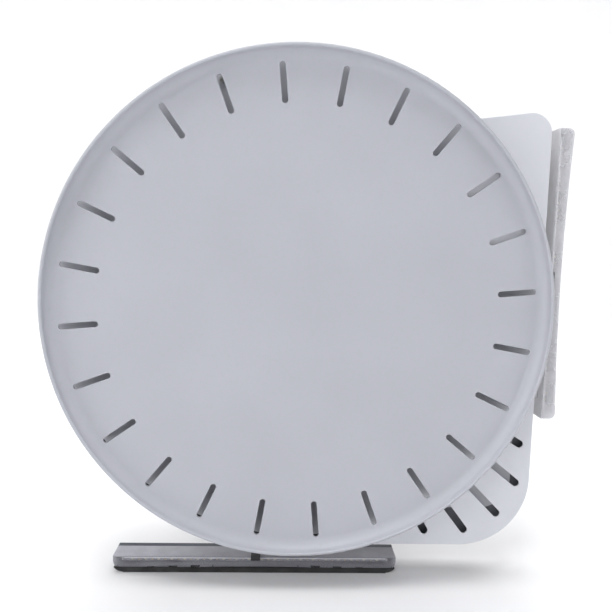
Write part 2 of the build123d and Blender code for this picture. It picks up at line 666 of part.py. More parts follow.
def bar_leds(place):
    """Flexible light strip with square light-emitting diodes at an even pitch."""
    tape = Pos(0, -STRIP_OFF) * Rectangle(BAR_LENGTH - 22, 5.8)
    strip = bar_slab(place, tape, STRIP_FRONT, STRIP_FRONT + STRIP_T)
    count = int((BAR_LENGTH - 26) / LED_PITCH)
    for k in range(count):
        along = (k - (count - 1) / 2) * LED_PITCH
        chip = Pos(along, -STRIP_OFF) * (Rectangle(LED_SIDE, LED_SIDE) - Circle(1.9))
        strip += bar_slab(place, chip, STRIP_FRONT - 1.5, STRIP_FRONT + 0.1)
    return strip


def bar_clip(place):
    """Dark clip round the middle of a bar, hooked over its front edge."""
    side = bar_slab(place, Pos(0, 1.5) * Rectangle(12, 3), BAR_FRONT - 2, RAIL_BACK)
    return side + bar_slab(place, Pos(0, -0.5) * Rectangle(12, 7), BAR_FRONT - 2, BAR_FRONT)


def side_place(y):
    """The plane of the side bar: along is up, and outwards is right."""
    return Plane(origin=(SIDE_BAR_X, y, AXIS_Z + SIDE_BAR_MID), x_dir=(0, 0, 1), z_dir=(0, -1, 0))


def foot_place(y):
    """The plane of the foot bar: along is right, and outwards is down."""
    return Plane(origin=(FOOT_BAR_MID, y, FOOT_BAR_TOP), x_dir=(1, 0, 0), z_dir=(0, -1, 0))


def side_bar_bracket():
    """Bracket from the housing's right wall to the side bar's rail, forked round the bar's clip."""
    wall = PANEL_RIGHT - HOUSING_INSET
    middle = AXIS_Z + SIDE_BAR_MID
    bracket = block(wall, SIDE_BAR_X - 3, RAIL_FRONT, RAIL_BACK, middle - 18, middle + 18)
    bracket += block(wall, wall + 2, BAR_FRONT + 5, RAIL_BACK, middle - 30, middle + 30)
    bracket += block(SIDE_BAR_X - 3, SIDE_BAR_X, RAIL_FRONT, RAIL_BACK, middle - 26, middle - 6.1)
    bracket += block(SIDE_BAR_X - 3, SIDE_BAR_X, RAIL_FRONT, RAIL_BACK, middle + 6.1, middle + 26)
    for dz in (-24, 24):
        bracket -= rod_x(2.0, wall - 1, wall + 3, -98, middle + dz)
    return bracket


def side_bar_screws():
    """Two screws from the bracket's flange into the housing's wall."""
    wall = PANEL_RIGHT - HOUSING_INSET
    middle = AXIS_Z + SIDE_BAR_MID
    screws = []
    for dz in (-24, 24):
        head = rod_x(3.8, wall + 2, wall + 4.4, -98, middle + dz)
        head -= rod_x(1.6, wall + 3, wall + 5, -98, middle + dz)
        screws.append(head + rod_x(1.95, wall - HOUSING_T - 4, wall + 2, -98, middle + dz))
    return together(screws)


def foot_shoe():
    """Rubber shoe under the foot bar, with a lip over its front's lower edge."""
    half = BAR_LENGTH / 2
    low = Pos(0, SHOE_TOP / 2 - FOOT_BAR_TOP) * Rectangle(BAR_LENGTH + 20, SHOE_TOP)
    sketch = offset(bar_outline(FOOT_CORNER), SHOE_T) & low
    sketch += Pos(0, 2.5 - FOOT_BAR_TOP) * Rectangle(2 * (half - FOOT_CORNER), 5)
    shoe = bar_slab(foot_place, sketch, BAR_FRONT - SHOE_T, RAIL_BACK)
    return shoe - bar_slab(foot_place, bar_outline(FOOT_CORNER), BAR_FRONT, RAIL_BACK + 1)


# ---- yoke and pedestal ---------------------------------------------------------------------------


def yoke():
    """Bent U-shaped yoke: a base on the azimuth spindle, and two arms with the elevation pins."""
    top = AXIS_Z + ARM_HALF
    outer = 2 * (ARM_X + ARM_T)
    front_view = Pos(0, (YOKE_Z + top) / 2) * Rectangle(outer, top - YOKE_Z)
    front_view = fillet(front_view.vertices().group_by(Axis.Y)[0], 14)
    gap_low = YOKE_Z + YOKE_BASE_T
    gap = Pos(0, (gap_low + top + 10) / 2) * Rectangle(2 * ARM_X, top + 10 - gap_low)
    gap = fillet(gap.vertices().group_by(Axis.Y)[0], 6)
    plane = Plane(origin=(0, ARM_HALF, 0), x_dir=(1, 0, 0), z_dir=(0, -1, 0))
    solid = extrude(plane * (front_view - gap), 2 * ARM_HALF)
    side_view = Plane(origin=(-outer, 0, 0), x_dir=(0, 1, 0), z_dir=(1, 0, 0)) * make_hull(
        (Pos(0, AXIS_Z) * Circle(ARM_HALF) + Pos(0, YOKE_Z) * Rectangle(2 * ARM_HALF, 2)).edges()
    )
    solid &= extrude(side_view, 2 * outer)
    solid -= rod_x(PIVOT_R, -outer, outer)
    solid -= rod_z(15, YOKE_Z - 1, YOKE_Z + 20)
    window = Pos(0, AXIS_Z - 76) * SlotOverall(56, 24, rotation=90)
    solid -= extrude(Plane(origin=(-outer, 0, 0), x_dir=(0, 1, 0), z_dir=(1, 0, 0)) * window, 2 * outer)
    for k in range(4):
        x, y = polar(YOKE_BOLT_R, 45 + 90 * k)
        solid -= rod_z(3.2, YOKE_Z - 1, YOKE_Z + 20, x, y)
    return solid


def yoke_bolts():
    """Four cap screws that hold the yoke to the azimuth spindle."""
    bolts = []
    top = YOKE_Z + YOKE_BASE_T
    for k in range(4):
        x, y = polar(YOKE_BOLT_R, 45 + 90 * k)
        head = rod_z(5, top, top + 6, x, y) - rod_z(2.4, top + 3, top + 7, x, y)
        bolts.append(head + rod_z(2.95, YOKE_Z - 8, top, x, y))
    return together(bolts)


def pivot_pins():
    """Two headed pins, one in each yoke arm, that the head tilts on."""
    pins = []
    for side in (-1, 1):
        pin = rod_x(PIVOT_R, 60, 101) + rod_x(12, 57, 61)
        pins.append(pin if side > 0 else mirror(pin, Plane.YZ))
    return together(pins)


def friction_discs():
    """Friction discs between the bracket's ears and the yoke's arms."""
    discs = []
    for side in (-1, 1):
        disc = rod_x(23, EAR_X + EAR_T + 0.1, ARM_X) - rod_x(PIVOT_R, 60, 90)
        discs.append(disc if side > 0 else mirror(disc, Plane.YZ))
    return together(discs)


def elevation_knob(side):
    """Lobed clamping knob on the outer end of an elevation pin."""
    start = ARM_X + ARM_T + 0.2
    outline = lobed(24, 5, 6)
    plane = Plane(origin=(start + 5, 0, AXIS_Z), x_dir=(0, 1, 0), z_dir=(1, 0, 0))
    grip = extrude(plane * outline, 18)
    knob = grip + rod_x(14, start, start + 6)
    knob -= rod_x(PIVOT_R + RUNNING, start - 1, 102)
    return knob if side > 0 else mirror(knob, Plane.YZ)


def skew_clamp_plate():
    """Pressure disc that the skew knob pulls against the tilt bracket."""
    front = BRACKET_FRONT + BRACKET_T + 0.3
    disc = ring_y(46, LOCK_R + RUNNING, front, front + 3)
    return disc + ring_y(20, LOCK_R + RUNNING, front + 3, front + 4)


def skew_lock_knob():
    """Lobed knob on a stud that screws into the dish spindle and clamps it."""
    grip = slab(lobed(26, 5, 6), -58, -42)
    stud = rod_y(LOCK_R, SPINDLE_END - 20, -58)
    return grip + stud + rod_y(15, -64.5, -57.5)


def azimuth_spindle():
    """Flanged steel shaft that carries the yoke and turns in the pedestal's bush."""
    flange_low = COLUMN_TOP + 2.2
    shaft = rod_z(AZIMUTH_R, COLUMN_TOP - 70, flange_low) + rod_z(SPINDLE_FLANGE_R, flange_low, YOKE_Z)
    for k in range(4):
        x, y = polar(YOKE_BOLT_R, 45 + 90 * k)
        shaft -= rod_z(3.0, YOKE_Z - 9, YOKE_Z + 1, x, y)
    return shaft


def column():
    """Turned pedestal column with a foot flange, a bored top, and a tapped hole for the azimuth lock."""
    flange_top = BASE_T + COLUMN_FLANGE_T
    solid = rod_z(COLUMN_FLANGE_R, BASE_T, flange_top) + rod_z(COLUMN_R, BASE_T, COLUMN_TOP)
    rings = solid.edges().filter_by(GeomType.CIRCLE)
    foot = rings.filter_by(lambda e: abs(e.radius - COLUMN_R) < 0.1 and abs(e.center().Z - flange_top) < 0.1)
    solid = fillet(foot, 8)
    solid -= rod_z(BUSH_R, COLUMN_TOP - 80, COLUMN_TOP + 1)
    solid -= rod_z(17, BASE_T - 1, COLUMN_TOP - 70)
    wall = Plane(origin=(0, COLUMN_R + 1, LOCK_Z), x_dir=(1, 0, 0), z_dir=(0, -1, 0))
    solid -= extrude(wall * Circle(LOCK_R + RUNNING), 20)
    for k in range(4):
        x, y = polar(COLUMN_BOLT_R, 90 * k)
        solid -= rod_z(3.0, BASE_T - 1, flange_top + 1, x, y)
    return solid


def column_bolts():
    """Four cap screws that hold the column to the base plate."""
    bolts = []
    top = BASE_T + COLUMN_FLANGE_T
    for k in range(4):
        x, y = polar(COLUMN_BOLT_R, 90 * k)
        head = rod_z(5, top, top + 6, x, y) - rod_z(2.4, top + 3, top + 7, x, y)
        bolts.append(head + rod_z(2.95, 2, top, x, y))
    return together(bolts)


def azimuth_bush():
    bush = rod_z(BUSH_R, COLUMN_TOP - 60, COLUMN_TOP)
    return bush - rod_z(AZIMUTH_R + RUNNING, COLUMN_TOP - 61, COLUMN_TOP + 1)


def thrust_washer():
    return rod_z(33, COLUMN_TOP, COLUMN_TOP + 2) - rod_z(AZIMUTH_R + 0.5, COLUMN_TOP - 1, COLUMN_TOP + 3)


def azimuth_lock_knob():
    """Lobed knob on a stud through the column's back that clamps the azimuth bush."""
    plane = Plane(origin=(0, COLUMN_R + 28, LOCK_Z), x_dir=(1, 0, 0), z_dir=(0, -1, 0))
    grip = extrude(plane * lobed(19, 4, 6), 16)
    neck = extrude(plane * Circle(9), 24)
    return grip + neck + extrude(plane * Circle(LOCK_R), COLUMN_R + 28 - BUSH_R - 0.3)


def base_outline():
    tail = Pos(0, TAIL_BACK - 45) * RectangleRounded(2 * TAIL_HALF, 90, 40)
    front = Pos(0, BASE_FRONT + 20) * RectangleRounded(2 * BASE_FRONT_HALF, 40, 14)
    return make_hull((front + tail).edges())


def base_plate():
    """Heavy floor plate: narrow at the front, wide at the back, with four bolt holes round the column."""
    plate = extrude(base_outline(), BASE_T)
    plate = chamfer(plate.faces().sort_by(Axis.Z)[-1].edges(), 1.5)
    for x, y in BASE_BOLTS:
        plate -= rod_z(BASE_HOLE_R, -1, BASE_T + 1, x, y)
    for k in range(4):
        plate -= rod_z(3.0, 1.5, BASE_T + 1, *polar(COLUMN_BOLT_R, 90 * k))
    for x, y in FOOT_PADS:
        plate -= rod_z(11, -1, 3, x, y)
    for x, y in ARM_SCREWS:
        plate -= rod_z(2.0, 3.2, BASE_T + 1, x, y)
    return plate


def rubber_pads():
    """Rubber discs let into the underside of the base plate."""
    return together(rod_z(11, 0, 3, x, y) for x, y in FOOT_PADS)


def foot_bar_arm():
    """Flat steel arm from the top of the base plate to the back of the foot bar's rail."""
    x0, x1 = FOOT_BAR_MID - 16, FOOT_BAR_MID + 16
    arm = block(x0, x1, RAIL_BACK, -50, BASE_T, BASE_T + 3)
    arm += block(x0, x1, RAIL_BACK, RAIL_BACK + 2.5, 1, FOOT_BAR_TOP)
    for x, y in ARM_SCREWS:
        arm -= rod_z(2.1, BASE_T - 1, BASE_T + 5, x, y)
    return arm


def foot_bar_screws():
    """Two button-head screws from the arm into the base plate."""
    screws = []
    top = BASE_T + 3
    for x, y in ARM_SCREWS:
        head = rod_z(3.8, top, top + 2.4, x, y) - rod_z(1.6, top + 1, top + 3, x, y)
        screws.append(head + rod_z(1.95, 3.5, top, x, y))
    return together(screws)


# ---- build ---------------------------------------------------------------------------------------

PARTS = {
    "dish_pan": dish_pan,
    "foam_spacer": foam_spacer,
    "array_board": array_board,
    "array_backplate": array_backplate,
    "rf_converter": rf_converter,
    "pan_screws": pan_screws,
    "dish_spindle": dish_spindle,
    "hub_bolts": hub_bolts,
    "spindle_nut": spindle_nut,
    "case_panel": case_panel,
    "panel_gasket": panel_gasket,
    "rear_housing": rear_housing,
    "front_cover": front_cover,
    "cover_screws": cover_screws,
    "chassis_plate": chassis_plate,
    "chassis_standoffs": chassis_standoffs,
    "power_supply": power_supply,
    "modem_board": modem_board,
    "fan_frame": fan_frame,
    "fan_rotor": fan_rotor,
    "hub_carrier": hub_carrier,
    "skew_bush": skew_bush,
    "tilt_bracket": tilt_bracket,
    "bracket_bolts": bracket_bolts,
    "connector_plate": connector_plate,
    "coax_sockets": coax_sockets,
    "power_inlet": power_inlet,
    "power_button": power_button,
    "power_switch": power_switch,
    "side_bar_bracket": side_bar_bracket,
    "side_bar_screws": side_bar_screws,
    "foot_shoe": foot_shoe,
    "yoke": yoke,
    "yoke_bolts": yoke_bolts,
    "pivot_pins": pivot_pins,
    "friction_discs": friction_discs,
    "skew_clamp_plate": skew_clamp_plate,
    "skew_lock_knob": skew_lock_knob,
    "azimuth_spindle": azimuth_spindle,
    "column": column,
    "column_bolts": column_bolts,
    "azimuth_bush": azimuth_bush,
    "thrust_washer": thrust_washer,
    "azimuth_lock_knob": azimuth_lock_knob,
    "base_plate": base_plate,
    "rubber_pads": rubber_pads,
    "foot_bar_arm": foot_bar_arm,
    "foot_bar_screws": foot_bar_screws,
}

for name, make in PARTS.items():
    save(name, make())

for bar, place, corner_r in (("side_bar", side_place, SIDE_CORNER), ("foot_bar", foot_place, FOOT_CORNER)):
    save(f"{bar}_lens", bar_lens(place, corner_r))
    save(f"{bar}_rail", bar_rail(place, corner_r))
    save(f"{bar}_reflector", bar_reflector(place))
    save(f"{bar}_leds", bar_leds(place))
    save(f"{bar}_clip", bar_clip(place))

for side, word in ((-1, "left"), (1, "right")):
    save(f"elevation_knob_{word}", elevation_knob(side))
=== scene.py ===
"""Looks for the flat satellite dish: materials, small surface pieces, a floor, soft light and the camera."""

import json
import math

import bmesh
import bpy
from mathutils import Matrix, Vector


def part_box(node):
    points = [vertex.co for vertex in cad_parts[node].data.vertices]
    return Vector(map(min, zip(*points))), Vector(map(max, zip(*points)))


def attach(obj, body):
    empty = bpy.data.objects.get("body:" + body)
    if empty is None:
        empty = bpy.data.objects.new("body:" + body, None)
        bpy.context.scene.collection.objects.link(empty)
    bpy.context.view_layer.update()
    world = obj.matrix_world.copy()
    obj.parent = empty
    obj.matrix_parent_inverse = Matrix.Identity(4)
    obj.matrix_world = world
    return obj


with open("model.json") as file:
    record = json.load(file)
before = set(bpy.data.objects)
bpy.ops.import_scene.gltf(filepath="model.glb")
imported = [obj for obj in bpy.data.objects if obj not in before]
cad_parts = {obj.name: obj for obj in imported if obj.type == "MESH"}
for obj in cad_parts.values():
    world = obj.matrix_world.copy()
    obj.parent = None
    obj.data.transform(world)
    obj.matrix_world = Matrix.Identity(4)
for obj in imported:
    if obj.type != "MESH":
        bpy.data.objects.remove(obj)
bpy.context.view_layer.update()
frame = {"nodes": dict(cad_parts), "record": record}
nodes = frame["nodes"]


MM = 0.001
RIM_DEPTH = 14 * MM                 # the pan's rim stands this far in front of its face

# AXIS is the point where the dish's own axis meets the front of the pan's face
pan_low, pan_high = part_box("dish_pan")
pan_middle = (pan_low + pan_high) / 2
AXIS = Vector((pan_middle.x, pan_low.y + RIM_DEPTH, pan_middle.z))


def mm(*values):
    return tuple(value * MM for value in values)


# ---- materials ------------------------------------------------------------------------------------------------
class Nodes:
    """A material's node tree, with short calls for the nodes used here."""

    def __init__(self, name):
        self.material = bpy.data.materials.new(name)
        self.material.use_nodes = True
        self.tree = self.material.node_tree
        self.shader = self.tree.nodes["Principled BSDF"]
        self.coords = self.tree.nodes.new("ShaderNodeTexCoord").outputs["Object"]

    def add(self, kind, **settings):
        node = self.tree.nodes.new(kind)
        for key, value in settings.items():
            setattr(node, key, value)
        return node

    def link(self, source, target):
        self.tree.links.new(source, target)

    def set(self, **values):
        for key, value in values.items():
            socket = self.shader.inputs[key.replace("_", " ")]
            socket.default_value = value

    def stretched(self, scale):
        mapping = self.add("ShaderNodeMapping")
        mapping.inputs["Scale"].default_value = scale
        self.link(self.coords, mapping.inputs["Vector"])
        return mapping.outputs["Vector"]

    def noise(self, scale, detail=3.0, rough=0.5, vector=None):
        node = self.add("ShaderNodeTexNoise")
        node.inputs["Scale"].default_value = scale
        node.inputs["Detail"].default_value = detail
        node.inputs["Roughness"].default_value = rough
        self.link(vector or self.coords, node.inputs["Vector"])
        return node.outputs["Fac"]

    def spread(self, value, low, high, start=0.3, end=0.7):
        node = self.add("ShaderNodeMapRange")
        for name, number in (("From Min", start), ("From Max", end), ("To Min", low), ("To Max", high)):
            node.inputs[name].default_value = number
        self.link(value, node.inputs["Value"])
        return node.outputs["Result"]

    def mix(self, factor, first, second):
        """Two colours by a factor; each is a colour or a socket."""
        node = self.add("ShaderNodeMix", data_type="RGBA")
        self.link(factor, node.inputs["Factor"])
        for socket, value in ((node.inputs[6], first), (node.inputs[7], second)):
            if isinstance(value, tuple):
                socket.default_value = (*value, 1.0)
            else:
                self.link(value, socket)
        return node.outputs[2]

    def math(self, operation, *values):
        node = self.add("ShaderNodeMath", operation=operation)
        for socket, value in zip(node.inputs, values):
            if isinstance(value, (int, float)):
                socket.default_value = value
            else:
                self.link(value, socket)
        return node.outputs[0]

    def colour(self, socket):
        self.link(socket, self.shader.inputs["Base Color"])

    def roughness(self, socket):
        self.link(socket, self.shader.inputs["Roughness"])

    def bump(self, height, distance, strength=1.0):
        node = self.add("ShaderNodeBump")
        node.inputs["Distance"].default_value = distance
        node.inputs["Strength"].default_value = strength
        self.link(height, node.inputs["Height"])
        self.link(node.outputs["Normal"], self.shader.inputs["Normal"])

    def edges(self, radius):
        """Near 1 along the solid's sharp edges and 0 elsewhere."""
        bevel = self.add("ShaderNodeBevel", samples=6)
        bevel.inputs["Radius"].default_value = radius
        geometry = self.add("ShaderNodeNewGeometry")
        dot = self.add("ShaderNodeVectorMath", operation="DOT_PRODUCT")
        self.link(bevel.outputs["Normal"], dot.inputs[0])
        self.link(geometry.outputs["Normal"], dot.inputs[1])
        return self.spread(dot.outputs["Value"], 1.0, 0.0, 0.80, 0.99)


def scaled(colour, factor):
    return tuple(min(1.0, channel * factor) for channel in colour)


def powder_coat(name, colour, rough=0.42, mottle=0.06, peel=0.00006, wear=None):
    """Sprayed and baked paint: faint cloudiness, orange peel and, where asked, rubbed edges."""
    n = Nodes(name)
    cloud = n.noise(7.0, 4.0)
    fine = n.noise(160.0, 2.0)
    tone = n.mix(n.spread(cloud, 0, 1), scaled(colour, 1 - mottle), scaled(colour, 1 + mottle))
    tone = n.mix(n.spread(fine, 0, 0.5, 0.55, 0.75), tone, scaled(colour, 1 - 1.5 * mottle))
    if wear:
        scuffs = n.math("MULTIPLY", n.edges(0.0012), n.spread(n.noise(60.0, 4.0), 0, 1, 0.45, 0.6))
        tone = n.mix(scuffs, tone, wear)
    n.colour(tone)
    n.roughness(n.spread(n.noise(24.0, 3.0), rough - 0.06, rough + 0.08))
    n.bump(n.noise(900.0, 1.0), peel)
    return n.material


def moulded(name, colour, rough=0.55, grain=1400.0, depth=0.00005, dust=0.0):
    """Moulded plastic with a spark-eroded grain."""
    n = Nodes(name)
    tone = n.mix(n.spread(n.noise(12.0, 3.0), 0, 1), scaled(colour, 0.88), scaled(colour, 1.12))
    if dust:
        pale = tuple(channel + dust for channel in colour)
        tone = n.mix(n.spread(n.noise(30.0, 6.0, 0.65), 0, 0.6, 0.52, 0.75), tone, pale)
    n.colour(tone)
    n.roughness(n.spread(n.noise(40.0), rough - 0.08, rough + 0.1))
    n.bump(n.noise(grain, 2.0, 0.7), depth)
    return n.material


def bare_metal(name, colour, rough=0.32, stretch=(900.0, 900.0, 30.0), depth=0.00002):
    """Turned, ground or plated metal with fine tool marks."""
    n = Nodes(name)
    marks = n.noise(1.0, 3.0, 0.6, n.stretched(stretch))
    tone = n.mix(n.spread(marks, 0, 1), scaled(colour, 0.86), scaled(colour, 1.08))
    tone = n.mix(n.spread(n.noise(18.0, 5.0), 0, 0.5, 0.5, 0.7), tone, scaled(colour, 0.74))
    n.colour(tone)
    n.set(Metallic=1.0)
    n.roughness(n.spread(marks, rough - 0.06, rough + 0.1))
    n.bump(marks, depth)
    return n.material


def cast_metal(name, colour):
    """Die-cast alloy with fine pits and a cloudy skin."""
    n = Nodes(name)
    pits = n.noise(700.0, 3.0, 0.7)
    n.colour(n.mix(n.spread(n.noise(25.0, 5.0), 0, 1), scaled(colour, 0.82), scaled(colour, 1.05)))
    n.set(Metallic=1.0)
    n.roughness(n.spread(n.noise(60.0), 0.42, 0.58))
    n.bump(pits, 0.0001)
    return n.material


def rubber(name, colour):
    """Matt rubber or foam with a fine open grain."""
    n = Nodes(name)
    n.colour(n.mix(n.spread(n.noise(50.0, 5.0), 0, 1), scaled(colour, 0.8), tuple(c + 0.02 for c in colour)))
    n.roughness(n.spread(n.noise(90.0), 0.7, 0.88))
    n.bump(n.noise(1600.0, 2.0), 0.00008)
    return n.material


def circuit_board(name, colour):
    """Solder mask over a hatch of copper tracks."""
    n = Nodes(name)
    brick = n.add("ShaderNodeTexBrick")
    n.link(n.stretched((260.0, 260.0, 260.0)), brick.inputs["Vector"])
    brick.inputs["Color1"].default_value = (*scaled(colour, 1.5), 1)
    brick.inputs["Color2"].default_value = (*scaled(colour, 1.2), 1)
    brick.inputs["Mortar"].default_value = (*scaled(colour, 0.8), 1)
    n.colour(n.mix(n.spread(n.noise(80.0, 2.0), 0, 1), brick.outputs["Color"], colour))
    n.roughness(n.spread(n.noise(60.0), 0.25, 0.4))
    n.bump(brick.outputs["Fac"], 0.00003)
    return n.material


def clear_plastic(name, tint, front_alpha, side_alpha):
    """Polycarbonate with frosted sides and a clearer front (faces along Y), with moulding ripples."""
    n = Nodes(name)
    n.colour(n.mix(n.spread(n.noise(26.0, 3.0), 0, 1), tint, scaled(tint, 0.93)))
    split = n.add("ShaderNodeSeparateXYZ")
    n.link(n.tree.nodes["Texture Coordinate"].outputs["Normal"], split.inputs["Vector"])
    facing = n.math("ABSOLUTE", split.outputs["Y"])
    cloudy = n.spread(n.noise(45.0, 4.0, 0.6), -0.06, 0.06)
    alpha = n.math("ADD", n.spread(facing, side_alpha, front_alpha, 0.3, 0.9), cloudy)
    n.link(alpha, n.shader.inputs["Alpha"])
    n.roughness(n.spread(n.noise(300.0, 5.0, 0.7), 0.12, 0.3))
    n.bump(n.noise(90.0, 3.0), 0.0001)
    return n.material


def light_tape(name, tape, resist):
    """Flexible printed strip: a dark base with fine specks of paler solder resist."""
    n = Nodes(name)
    specks = n.noise(420.0, 2.0)
    n.colour(n.mix(n.spread(specks, 0, 1, 0.45, 0.55), tape, resist))
    n.roughness(n.spread(n.noise(60.0), 0.3, 0.5))
    n.bump(specks, 0.00003)
    return n.material


STEEL = (0.56, 0.57, 0.58)
looks = {
    "pan_shell": powder_coat("pan_shell", (0.462, 0.470, 0.515), rough=0.46, mottle=0.03),
    "panel_paint": powder_coat("panel_paint", (0.68, 0.69, 0.735), rough=0.38, mottle=0.02),
    "chassis_sheet": powder_coat("chassis_sheet", (0.52, 0.53, 0.57), rough=0.5),
    "housing_plastic": moulded("housing_plastic", (0.022, 0.023, 0.026), rough=0.6, dust=0.02),
    "foam": rubber("foam", (0.75, 0.75, 0.70)),
    "gasket_foam": rubber("gasket_foam", (0.03, 0.03, 0.03)),
    "board": circuit_board("board", (0.03, 0.12, 0.07)),
    "cast_alloy": cast_metal("cast_alloy", (0.62, 0.63, 0.65)),
    "turned_steel": bare_metal("turned_steel", STEEL, 0.26, (60.0, 900.0, 60.0)),
    "zinc_steel": bare_metal("zinc_steel", (0.62, 0.62, 0.58), 0.34, (500.0, 500.0, 120.0)),
    "black_steel": powder_coat("black_steel", (0.03, 0.03, 0.032), rough=0.4, wear=(0.3, 0.3, 0.3)),
    "dark_paint": powder_coat("dark_paint", (0.10, 0.105, 0.115), rough=0.45, wear=(0.28, 0.28, 0.29)),
    "bronze": bare_metal("bronze", (0.55, 0.38, 0.18), 0.38),
    "rubber": rubber("rubber", (0.02, 0.02, 0.02)),
    "clear_plastic": clear_plastic("clear_plastic", (0.60, 0.60, 0.66), 0.12, 0.72),
    "led_white": light_tape("led_white", (0.20, 0.20, 0.23), (0.32, 0.32, 0.36)),
    "carrier_white": moulded("carrier_white", (0.80, 0.80, 0.79), rough=0.5, depth=0.00003),
    # painted shade: the rail's dark navy stands in for the shade and dark reflection along the foot bar's lower
    # front, seen through its lens
    "rail_dark": powder_coat("rail_dark", (0.035, 0.04, 0.06), rough=0.4),
    "knob_black": moulded("knob_black", (0.02, 0.02, 0.021), rough=0.5, dust=0.015),
    "friction_lining": rubber("friction_lining", (0.12, 0.09, 0.06)),
    "gold_plate": bare_metal("gold_plate", (0.62, 0.50, 0.25), 0.28),
}
# painted light: the side bar's lens gets a paler copy of the clear plastic, lighter than the foot bar's lens
# because of how light falls on it, though both are the same plastic
painted_light_looks = {"side_bar_lens": clear_plastic("clear_plastic_side_painted_light", (0.96, 0.96, 1.0), 0.28, 0.80)}
for part in frame["record"]["subparts"]:
    obj = nodes[part["node"]]
    obj.data.materials.clear()
    obj.data.materials.append(painted_light_looks.get(part["node"], looks[part["material_slot"]]))


# ---- small pieces that ride on the bodies ---------------------------------------------------------------------
def piece(name, shape, look, body, smooth=False):
    """Puts a finished shape in the scene, riding on a body."""
    bmesh.ops.recalc_face_normals(shape, faces=shape.faces)
    mesh = bpy.data.meshes.new(name)
    shape.to_mesh(mesh)
    shape.free()
    for face in mesh.polygons:
        face.use_smooth = smooth
    mesh.materials.append(look)
    obj = bpy.data.objects.new(name, mesh)
    bpy.context.scene.collection.objects.link(obj)
    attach(obj, body)


def facing_plane(centre, right, up):
    """Maps (right, up, out) to the row frame, where out is right x up."""
    right, up = Vector(right), Vector(up)
    out = right.cross(up)
    return Matrix((
        (right.x, up.x, out.x, centre[0]),
        (right.y, up.y, out.y, centre[1]),
        (right.z, up.z, out.z, centre[2]),
        (0, 0, 0, 1),
    ))


def add_block(shape, place, size, at=(0, 0, 0), turn=0.0, bevel=0.0):
    """A bevelled block standing on the plane, turned about the plane's own centre."""
    width, height, depth = size
    local = Matrix.Rotation(turn, 4, "Z") @ Matrix.Translation((at[0], at[1], at[2] + depth / 2))
    scale = Matrix.Diagonal((width, height, depth, 1))
    made = bmesh.ops.create_cube(shape, size=1.0, matrix=place @ local @ scale)
    if bevel:
        edges = {edge for vert in made["verts"] for edge in vert.link_edges}
        bmesh.ops.bevel(shape, geom=list(edges), offset=bevel, segments=2, affect="EDGES", profile=0.5)


def add_turned(shape, place, profile, steps=24):
    """A turned solid about the plane's normal; the profile is a list of (radius, height)."""
    rings = []
    for radius, height in profile:
        if radius == 0:
            rings.append([shape.verts.new(place @ Vector((0, 0, height)))])
            continue
        turns = [math.tau * k / steps for k in range(steps)]
        ring = [place @ Vector((radius * math.cos(a), radius * math.sin(a), height)) for a in turns]
        rings.append([shape.verts.new(point) for point in ring])
    for low, high in zip(rings, rings[1:]):
        for k in range(steps):
            if len(high) == 1:
                shape.faces.new((low[k - 1], low[k], high[0]))
            elif len(low) == 1:
                shape.faces.new((low[0], high[k], high[k - 1]))
            else:
                shape.faces.new((low[k - 1], low[k], high[k], high[k - 1]))


def add_sheet(shape, place, outline, thickness):
    """A flat sheet cut to an outline of (right, up) points, rising from the plane."""
    low = [shape.verts.new(place @ Vector((x, y, 0))) for x, y in outline]
    high = [shape.verts.new(place @ Vector((x, y, thickness))) for x, y in outline]
    shape.faces.new(low)
    shape.faces.new(high)
    for k in range(len(outline)):
        shape.faces.new((low[k - 1], low[k], high[k], high[k - 1]))


def arc(centre, radius, start, end, steps=24):
    """Points on an arc, angles in degrees from +X towards +Y."""
    turns = [math.radians(start + (end - start) * k / steps) for k in range(steps + 1)]
    return [(centre[0] + radius * math.cos(a), centre[1] + radius * math.sin(a)) for a in turns]


FRONT = ((1, 0, 0), (0, 0, 1))      # right and up, seen from the front; out is towards the viewer
BACK = ((-1, 0, 0), (0, 0, 1))      # seen from the back; out is away from the viewer

# phosphor domes, solder pads, resistors and a light guide in each bar
LED_PITCH = 1 / 60                  # 60 diodes to the metre
LED_COUNT = 20
TAPE_DEPTH = 1.5 * MM               # the tape's face, behind the front of the diodes
DOME = [mm(1.8, 0.05), mm(1.8, 0.9), mm(1.6, 1.4), mm(1.1, 1.8), mm(0.5, 2.0), mm(0, 2.05)]
PAD = mm(2.2, 1.2, 0.12)
PAD_OFFSET = 1.7 * MM
RESISTOR = mm(2.0, 1.25, 0.55)
GUIDE_PLACE = mm(0, 2.2, 2.9)
GUIDE_RADIUS, GUIDE_TIP_RADIUS, GUIDE_TAPER = mm(0.9, 0.7, 0.6)
GUIDE_SHORTER = 4 * MM              # than its bar
phosphor = moulded("phosphor", (0.62, 0.58, 0.42), rough=0.25, depth=0.00001)
milky = moulded("milky_guide", (0.80, 0.80, 0.84), rough=0.3, depth=0.00002)
